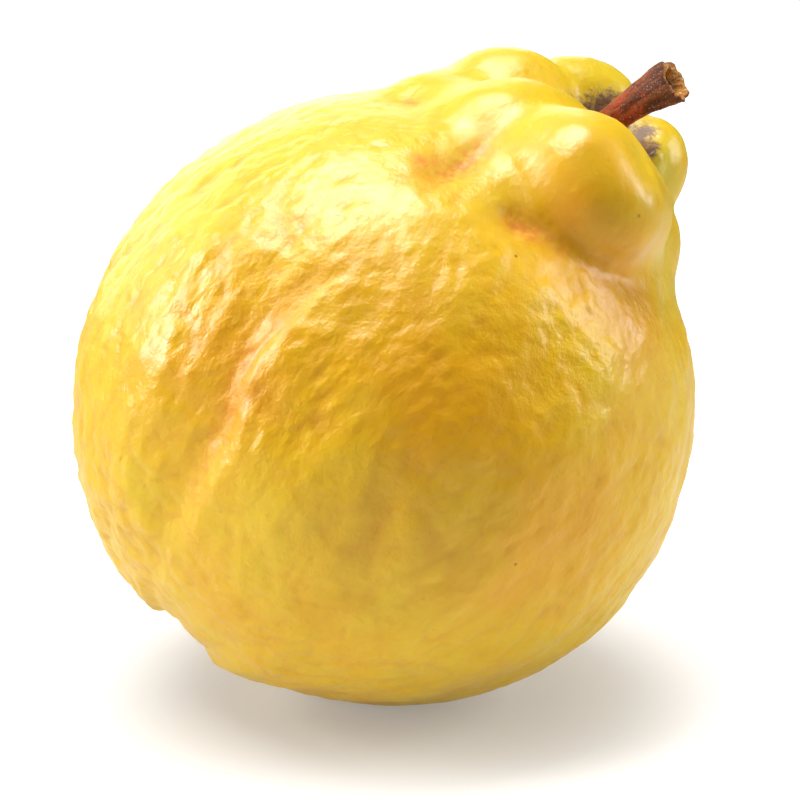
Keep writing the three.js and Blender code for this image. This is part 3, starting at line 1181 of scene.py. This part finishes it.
    def _store(self, points: np.ndarray, crease_shade: np.ndarray, wrinkled: np.ndarray) -> None:
        """Keep the pattern coordinates and masks that the skin's material reads.

        Args:
            points: Array of n by 3 finished vertices in the fruit's frame.
            crease_shade: Weight of the amber shade painted into the creases at each vertex.
            wrinkled: Wrinkle weight of each vertex.
        """
        rho, polar, lon = FORM.bearings(points)
        around, down = np.radians(lon), np.radians(polar)
        wide = rho / BELLY_RADIUS * 8
        grain = np.stack([np.cos(around) * wide, np.sin(around) * wide, down * 6.0], axis=1)
        store_vectors(self.piece, "grain", grain)
        store_floats(self.piece, "crease_shade", crease_shade)
        store_floats(self.piece, "wrinkled", wrinkled)
        # golden patches, partly painted shade in the middle and under the front knob
        ripe_and_shade = np.zeros(len(points))
        for where, pole, reach, much in self.ripe_and_shade_spots:
            ripe_and_shade = np.maximum(ripe_and_shade, much * self._spot(points, where, pole, reach))
        ripe_and_shade += 0.22 * LatticeNoise(67).octaves(points / 14.0, 2)
        store_floats(self.piece, "ripe_and_shade", np.clip(ripe_and_shade, 0, 1))
        wide = LatticeNoise(61).octaves(points / 11.0, 2)
        rear = 0.5 + 0.5 * np.cos(np.radians(lon - 55))
        neck = band(polar, -40, 30, 16) * np.clip(0.12 + 0.75 * rear + 0.35 * wide, 0, 1)
        store_floats(self.piece, "neck", neck * 0.9)
        spots = np.zeros(len(points))
        for where, pole, reach in self.blushes:
            spots = np.maximum(spots, self._spot(points, where, pole, reach))
        for groove in self.grooves:
            spots = np.maximum(spots, groove.tint * groove.nearness(points))
        store_floats(self.piece, "dimple", spots * 0.85)
        pit = FORM.stem_cavity.distance(points)
        deep = band(pit, -9, 1.2, 1.8) * band(polar, -40, 17, 6)
        basin = band(np.degrees(np.arctan2(rho, -points[:, 2])), -40, 8.5, 5)
        store_floats(self.piece, "scurf", np.clip(deep + basin, 0, 1))

    def dress(self) -> None:
        """Give the skin its finish and put it in place of the CAD fruit."""
        self.piece.data.materials.append(SkinFinish().material())
        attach(self.piece, "root")
        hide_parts(self.node)


@dataclass
class Stem:
    """The short stem, narrow and smooth below and torn from the twig above."""

    node: str = "stem"
    knots: tuple[Triple, ...] = (
        (-1.4, 0.6, 45.8),
        (-1.6, 0.1, 49.2),
        (-1.7, -1.0, 53.0),
        (-0.8, -3.2, 58.5),
        (0.7, -6.0, 64.0),
    )
    radii: tuple[float, ...] = (3.0, 2.2, 2.1, 2.5, 3.3)
    end_steps: tuple[tuple[float, float], ...] = (
        (1.0, 0.22), (0.97, 0.42), (0.91, 0.52), (0.83, 0.46), (0.75, 0.28), (0.68, -0.02),
        (0.62, -0.34), (0.55, -0.66), (0.46, -0.92), (0.36, -1.10), (0.22, -1.22), (0.10, -1.26),
    )
    end_depth: float = 1.3
    around: int = 96
    rings: int = 120
    piece: bpy.types.Object | None = field(default=None, init=False)

    def build(self) -> bpy.types.Object:
        """Loft the stem's bark and its torn, hollow end as one closed mesh.

        Returns:
            The stem object.
        """
        p, tangent, side, cross = SmoothPath(self.knots).frames(self.rings)
        share = np.linspace(0, 1, self.rings)
        wide = np.interp(share, np.linspace(0, 1, len(self.radii)), self.radii)
        wide = np.convolve(np.pad(wide, 8, mode="edge"), np.ones(17) / 17, mode="valid")
        angle = np.linspace(0, 2 * math.pi, self.around, endpoint=False)
        points, along, torn, pit = [p[0]], [0.0], [0.0], [0.0]
        rag = self._rag(angle)

        def ring(index: int, radius: np.ndarray, lift: np.ndarray, marks: Triple) -> None:
            """Add one ring at a place on the path, with its age, torn and pit weights."""
            across = np.outer(radius * np.cos(angle), side[index])
            across = p[index] + across + np.outer(radius * np.sin(angle), cross[index])
            points.extend(across + np.outer(lift, tangent[index]))
            for kept, mark in zip((along, torn, pit), marks):
                kept.extend([mark] * self.around)

        for k, t in enumerate(share):
            lobed = 1 + 0.05 * np.sin(3 * angle + 1 + t) + 0.03 * np.sin(5 * angle - 4 * t)
            radius = wide[k] * lobed + self._bark(angle, t)
            ring(k, radius, rag * max(0.0, (t - 0.9) / 0.1) ** 2, (t, 0.0, 0.0))
        frayed = LatticeNoise(77)
        for scale, sink in self.end_steps:
            radius = wide[-1] * scale * (1 + 0.06 * np.sin(7 * angle + 2 * scale))
            where = np.stack([np.cos(angle) * 4, np.sin(angle) * 4, np.full_like(angle, scale * 9)], axis=1)
            fray = 0.38 * frayed.octaves(where, 3, 0.6) * min(1.0, (1.02 - scale) * 5)
            broken = min(1.0, max(0.0, (0.95 - scale) / 0.1))
            hollow = min(1.0, max(0.0, (0.62 - scale) / 0.2))
            ring(-1, radius, rag * scale**2 + sink + fray, (1.0, broken, hollow))
        points.append(p[-1] - tangent[-1] * self.end_depth)
        for kept in (along, torn, pit):
            kept.append(1.0)
        rings = self.rings + len(self.end_steps)
        self.piece = mesh_piece("stem_wood", to_row(np.array(points)), tube_faces(rings, self.around))
        grain = [(0.0, 0.0, 0.0)]
        for k in range(rings):
            for a in angle:
                grain.append((math.cos(a) * 2.0, math.sin(a) * 2.0, 1.2 * k / self.rings))
        grain.append((0.0, 0.0, 1.2))
        store_vectors(self.piece, "grain", np.array(grain))
        store_floats(self.piece, "along", np.array(along))
        store_floats(self.piece, "torn", np.array(torn))
        store_floats(self.piece, "pit", np.array(pit))
        return self.piece

    @staticmethod
    def _rag(angle: np.ndarray) -> np.ndarray:
        """Uneven height of the torn rim round the stem's end."""
        where = np.stack([np.cos(angle) * 1.6, np.sin(angle) * 1.6, np.zeros_like(angle)], axis=1)
        return 0.3 * LatticeNoise(71).octaves(where, 3, 0.6)

    @staticmethod
    def _bark(angle: np.ndarray, t: float) -> np.ndarray:
        """Small ridges and warts, stronger towards the torn end.

        Args:
            angle: Turn of each point round the stem.
            t: Place along the stem, from 0 to 1.

        Returns:
            Height of each point in millimetres.
        """
        where = np.stack([np.cos(angle) * 2.4, np.sin(angle) * 2.4, np.full_like(angle, t * 7)], axis=1)
        fine = np.stack([np.cos(angle) * 6, np.sin(angle) * 6, np.full_like(angle, t * 22)], axis=1)
        weight = 0.25 + 0.75 * t
        return weight * (0.16 * LatticeNoise(73).octaves(where, 2) + 0.09 * LatticeNoise(79).sample(fine))

    def dress(self) -> None:
        """Give the stem its finish and put it in place of the CAD stem."""
        self.piece.data.materials.append(StemFinish().material())
        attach(self.piece, "root")
        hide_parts(self.node)


@dataclass
class BlossomEnd:
    """The dried calyx in its basin: sepals, withered stamens and the styles' tuft."""

    sepal_count: int = 5
    sepal_foot: float = 4.2
    sepal_length: float = 7.2
    sepal_width: float = 3.8
    sepal_thickness: float = 0.45
    stamen_count: int = 8
    stamen_ring: float = 2.5
    stamen_length: float = 3.6
    style_count: int = 5
    style_height: float = 2.9
    style_ring: float = 0.55
    pieces: list[tuple[bpy.types.Object, str, str]] = field(default_factory=list, init=False)

    def build(self) -> None:
        """Build every dried piece of the blossom end."""
        for i in range(self.sepal_count):
            name = f"sepal_{i + 1}"
            self.pieces.append((self._sepal(i), name, "sepal_dry"))
        for i in range(self.stamen_count):
            name = f"stamen_{i + 1}"
            self.pieces.append((self._stamen(i), name, "stamen_dry"))
        self.pieces.append((self._styles(), "styles", "stamen_dry"))

    def _sepal(self, index: int) -> bpy.types.Object:
        """One dried sepal: a thin blade that cups, crinkles and curls outwards.

        Args:
            index: Which sepal, from 0.

        Returns:
            The sepal object.
        """
        bearing = index / self.sepal_count * 2 * math.pi + 0.3
        floor = FORM.basin_floor(
            self.sepal_foot * math.cos(bearing), self.sepal_foot * math.sin(bearing)
        )
        out = np.array([math.cos(bearing), math.sin(bearing), 0.0])
        side = np.array([-out[1], out[0], 0.0])
        down = np.array([0.0, 0.0, -1.0])
        foot = out * self.sepal_foot + np.array([0, 0, floor])
        curl = 0.55 + 0.2 * math.sin(index * 2.1)
        steps, count = 36, 40
        ruck = LatticeNoise(91 + index)
        points, grain = [], []
        for k in range(steps + 1):
            t = k / steps
            lift = self.sepal_length * 0.72 * t - 0.3
            lean = self.sepal_length * (0.22 * t + curl * t * t * 0.62) - 0.6
            half = self.sepal_width / 2 * (1 - 0.55 * t * t - 0.4 * t**8)
            thick = self.sepal_thickness / 2 * (1 - 0.3 * t)
            across = out * (1 - 0.5 * t) + down * (-0.75 * t)
            across /= np.linalg.norm(across)
            centre = foot + down * lift + out * lean
            for i in range(count):
                a = i / count * 2 * math.pi
                u = math.cos(a)
                wavy = float(ruck.sample(np.array([[u * 1.5, t * 3.5, 0.3]]))[0])
                torn = 1 + 0.12 * float(ruck.sample(np.array([[2.5 * np.sign(u), t * 9, 4.0]]))[0])
                cup = 0.38 * u * u * half - 0.45 * wavy * t - 0.12 * math.cos(u * 9) * (1 - t)
                points.append(centre + side * half * torn * u + across * (thick * math.sin(a) - cup))
                grain.append((u * 1.2, math.sin(a) * 0.3, t * 1.2 + index * 3))
        rings = steps + 1
        points = [np.mean(points[:count], axis=0), *points, np.mean(points[-count:], axis=0)]
        grain = [grain[0], *grain, grain[-1]]
        blade = to_row(np.array(points))
        piece = mesh_piece(f"sepal_blade_{index + 1}", blade, tube_faces(rings, count))
        store_vectors(piece, "grain", np.array(grain))
        return piece

    @staticmethod
    def _filament(
        name: str, knots: tuple[Triple, ...], radius: float, head: float
    ) -> bpy.types.Object:
        """A thin dried thread with a shrivelled head.

        Args:
            name: Name of the piece.
            knots: Points of its path in the fruit's frame.
            radius: Radius of the thread in millimetres.
            head: How much wider the head is than the thread.

        Returns:
            The thread object.
        """
        rings, count = 28, 14
        p, _, side, cross = SmoothPath(knots).frames(rings)
        points, grain = [p[0]], [(0.0, 0.0, 0.0)]
        for k in range(rings):
            t = k / (rings - 1)
            bulb = head * math.exp(-(((t - 0.88) / 0.1) ** 2))
            for i in range(count):
                a = i / count * 2 * math.pi
                r = radius * (1 - 0.3 * t + bulb) * (1 + 0.15 * math.sin(3 * a + 9 * t))
                r *= 0.35 if k == rings - 1 else 1.0
                points.append(p[k] + side[k] * r * math.cos(a) + cross[k] * r * math.sin(a))
                grain.append((math.cos(a), math.sin(a), t))
        points.append(p[-1])
        grain.append((0.0, 0.0, 1.0))
        piece = mesh_piece(name, to_row(np.array(points)), tube_faces(rings, count))
        store_vectors(piece, "grain", np.array(grain))
        return piece

    def _stamen(self, index: int) -> bpy.types.Object:
        """One withered stamen inside the ring of sepals.

        Args:
            index: Which stamen, from 0.

        Returns:
            The stamen object.
        """
        bearing = index / self.stamen_count * 2 * math.pi + 0.1
        reach = self.stamen_length * (0.85 + 0.15 * math.sin(index * 2.7))
        x, y = self.stamen_ring * math.cos(bearing), self.stamen_ring * math.sin(bearing)
        floor = FORM.basin_floor(x, y)
        bend = 0.12 * math.sin(index * 1.9)

        def at(distance: float, turn: float, height: float) -> Triple:
            """Point at a distance and turn round the axis, out from the floor."""
            angle = bearing + turn
            return (distance * math.cos(angle), distance * math.sin(angle), floor - height)

        knots = (
            at(self.stamen_ring, 0, -0.4),
            at(self.stamen_ring - 0.1, bend, reach * 0.5),
            at(self.stamen_ring + 0.15, bend * 2, reach),
        )
        return self._filament(f"stamen_thread_{index + 1}", knots, 0.22, 0.9)

    def _styles(self) -> bpy.types.Object:
        """The styles, dried together into one twisted tuft.

        Returns:
            The tuft object.
        """
        floor = FORM.basin_floor(0, 0)
        parts = []
        for i in range(self.style_count):
            a = i / self.style_count * 2 * math.pi
            knots = tuple(
                (
                    self.style_ring * (1 - 0.25 * t) * math.cos(a + 0.9 * t),
                    self.style_ring * (1 - 0.25 * t) * math.sin(a + 0.9 * t),
                    floor + 0.5 - (self.style_height + 0.5) * t * (0.9 + 0.1 * math.sin(3 * i)),
                )
                for t in (0.0, 0.35, 0.7, 1.0)
            )
            parts.append(self._filament(f"style_{i}", knots, 0.42, 0.5))
        return joined("styles_tuft", parts)

    def dress(self) -> None:
        """Give every dried piece its finish and put it in place of its CAD node."""
        leafy = SEPAL_FINISH.material()
        thread = STAMEN_FINISH.material()
        for piece, node, slot in self.pieces:
            piece.data.materials.clear()
            piece.data.materials.append(leafy if slot == "sepal_dry" else thread)
            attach(piece, "root")
            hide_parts(node)


def joined(name: str, parts: list[bpy.types.Object]) -> bpy.types.Object:
    """Join several meshes into one piece.

    Args:
        name: Name of the joined piece.
        parts: The pieces to join; they are used up.

    Returns:
        The joined object.
    """
    points, faces, grain = [], [], []
    for part in parts:
        start = len(points)
        points.extend(tuple(v.co) for v in part.data.vertices)
        faces.extend(tuple(start + i for i in f.vertices) for f in part.data.polygons)
        grain.extend(tuple(v.vector) for v in part.data.attributes["grain"].data)
        bpy.data.objects.remove(part)
    piece = mesh_piece(name, np.array(points), faces)
    store_vectors(piece, "grain", np.array(grain))
    return piece


# ------------------------------------------------------------------------------- studio
class Reach(Enum):
    """What a soft box lights."""

    ALL = "colour and gloss"
    BODY = "colour only"
    SHEEN = "gloss only"


@dataclass
class Studio:
    """Bright white table, soft lamps and the camera."""

    floor_side: float = 6.0
    floor_low: float = -0.0001
    floor_glow: float = 0.68
    # glow of the table within 2 cm of the fruit, lower than the rest as a painted shadow
    shadow_pool_glow: float = 0.25
    bounce: float = 0.55
    sky: float = 0.05
    lens: float = 100.0
    sensor: float = 36.0
    distance: float = 339.0
    elevation: float = 14.0
    aim_right: float = -2.29
    aim_down: float = 0.08

    def table(self) -> None:
        """A plain white table top that glows a little, like a light tent's, and less close to the fruit as
        a painted shadow.
        """
        half, low = self.floor_side / 2, self.floor_low
        corners = [(-half, -half, low), (half, -half, low), (half, half, low), (-half, half, low)]
        floor = mesh_piece("table_top", np.array(corners), [(0, 1, 2, 3)])
        material = bpy.data.materials.new("white_table")
        material.use_nodes = True
        shader = material.node_tree.nodes["Principled BSDF"]
        shader.inputs["Base Color"].default_value = (0.55, 0.55, 0.55, 1.0)
        shader.inputs["Roughness"].default_value = 0.9
        shader.inputs["Specular IOR Level"].default_value = 0.1
        sheet = NodeSheet(material.node_tree, fresh=False)
        away = sheet.add("ShaderNodeVectorMath", operation="LENGTH")
        sheet.join(sheet.object_place(), away.inputs[0])
        # painted shadow: the glow is low right round the fruit and rises by 6.5 cm out, which darkens and
        # bounds its shadow
        glow = sheet.spread(away.outputs["Value"], 0.02, 0.065, self.shadow_pool_glow, self.floor_glow)
        far = sheet.spread(away.outputs["Value"], 0.3, 0.9, 0.0, 1.0 - self.floor_glow)
        seen = sheet.add("ShaderNodeLightPath").outputs["Is Camera Ray"]
        near = sheet.spread(away.outputs["Value"], 0.09, 0.26, self.bounce, 0.0)
        share = sheet.math("MAXIMUM", seen, near)
        glow = sheet.math("MULTIPLY", sheet.math("ADD", glow, far), share)
        sheet.join(glow, shader.inputs["Emission Color"])
        shader.inputs["Emission Strength"].default_value = 1.0
        floor.data.materials.append(material)

    def sky_light(self) -> None:
        """Even white light from all round."""
        world = bpy.data.worlds.new("light_tent")
        world.use_nodes = True
        background = world.node_tree.nodes["Background"]
        background.inputs["Color"].default_value = (1.0, 1.0, 1.0, 1.0)
        background.inputs["Strength"].default_value = self.sky
        bpy.context.scene.world = world

    @staticmethod
    def lamp(
        name: str, place: Triple, aim: Triple, size: tuple[float, float],
        power: float, colour: Rgb, reach: Reach,
    ) -> None:
        """One soft box.

        Args:
            name: Name of the lamp.
            place: Where it stands, in metres.
            aim: The point it faces.
            size: Width and height of its panel.
            power: Radiant power in watts.
            colour: Its light's colour.
            reach: What it lights.
        """
        light = bpy.data.lights.new(name, "AREA")
        light.shape = "RECTANGLE"
        light.size, light.size_y = size
        light.energy = power
        light.color = colour
        lamp = bpy.data.objects.new(name, light)
        lamp.location = place
        ahead = Vector(aim) - Vector(place)
        lamp.rotation_euler = ahead.to_track_quat("-Z", "Y").to_euler()
        lamp.visible_diffuse = reach is not Reach.SHEEN
        lamp.visible_glossy = reach is not Reach.BODY
        bpy.context.scene.collection.objects.link(lamp)

    def lamps(self) -> None:
        """Soft boxes overhead, at both sides and behind, and a weak fill from low in front."""
        middle = (0.0, 0.0, 0.05)
        white = (1.0, 0.995, 0.985)
        boxes = (
            ("overhead_box", (-0.09, -0.05, 0.63), (0.30, 0.60), 4.85, Reach.ALL),
            ("overhead_sheen", (-0.08, -0.11, 0.63), (0.27, 0.48), 5.2, Reach.SHEEN),
            ("left_box", (-0.585, -0.10, 0.30), (0.20, 0.36), 2.7, Reach.ALL),
            ("left_sheen", (-0.585, -0.10, 0.30), (0.20, 0.36), 4.2, Reach.SHEEN),
            ("right_box", (0.60, 0.06, 0.28), (0.20, 0.36), 2.4, Reach.ALL),
            ("rear_sheen", (-0.35, 0.75, 0.42), (1.2, 0.7), 6.5, Reach.SHEEN),
            ("front_fill", (0.03, -0.60, 0.04), (0.5, 0.12), 0.2, Reach.BODY),
        )
        for name, place, size, power, reach in boxes:
            self.lamp(name, place, middle, size, power, white, reach)

    def camera(self) -> None:
        """The camera, in front and a little above, on a long lens."""
        tilt = math.radians(self.elevation)
        up = np.array([0.0, math.sin(tilt), math.cos(tilt)])
        ahead = np.array([0.0, math.cos(tilt), -math.sin(tilt)])
        right = np.array([1.0, 0.0, 0.0])
        place = np.array(FRUIT_ORIGIN_MM) - ahead * self.distance
        place = place - right * self.aim_right + up * self.aim_down
        data = bpy.data.cameras.new("front_camera")
        data.lens = self.lens
        data.sensor_width = self.sensor
        data.clip_start = 0.01
        camera = bpy.data.objects.new("front_camera", data)
        camera.location = tuple(place * MM)
        camera.rotation_euler = (math.radians(90.0) - tilt, 0.0, 0.0)
        bpy.context.scene.collection.objects.link(camera)
        bpy.context.scene.camera = camera

    def set_up(self) -> None:
        """Place everything round the fruit and choose plain colour handling."""
        self.table()
        self.sky_light()
        self.lamps()
        self.camera()
        view = bpy.context.scene.view_settings
        view.view_transform = "Standard"
        view.look = "None"


def main() -> None:
    """Build the quince, dress it and set up the studio."""
    logging.basicConfig(level=logging.INFO, format="%(name)s: %(message)s")
    Studio().set_up()
    skin = Skin()
    skin.build()
    skin.dress()
    LOG.info("built the fruit's skin")
    stem = Stem()
    stem.build()
    stem.dress()
    LOG.info("built the stem")
    blossom = BlossomEnd()
    blossom.build()
    blossom.dress()
    for piece, node, _ in blossom.pieces:
        LOG.info("built %s for %s", piece.name, node)


if __name__ == "__main__":
    main()
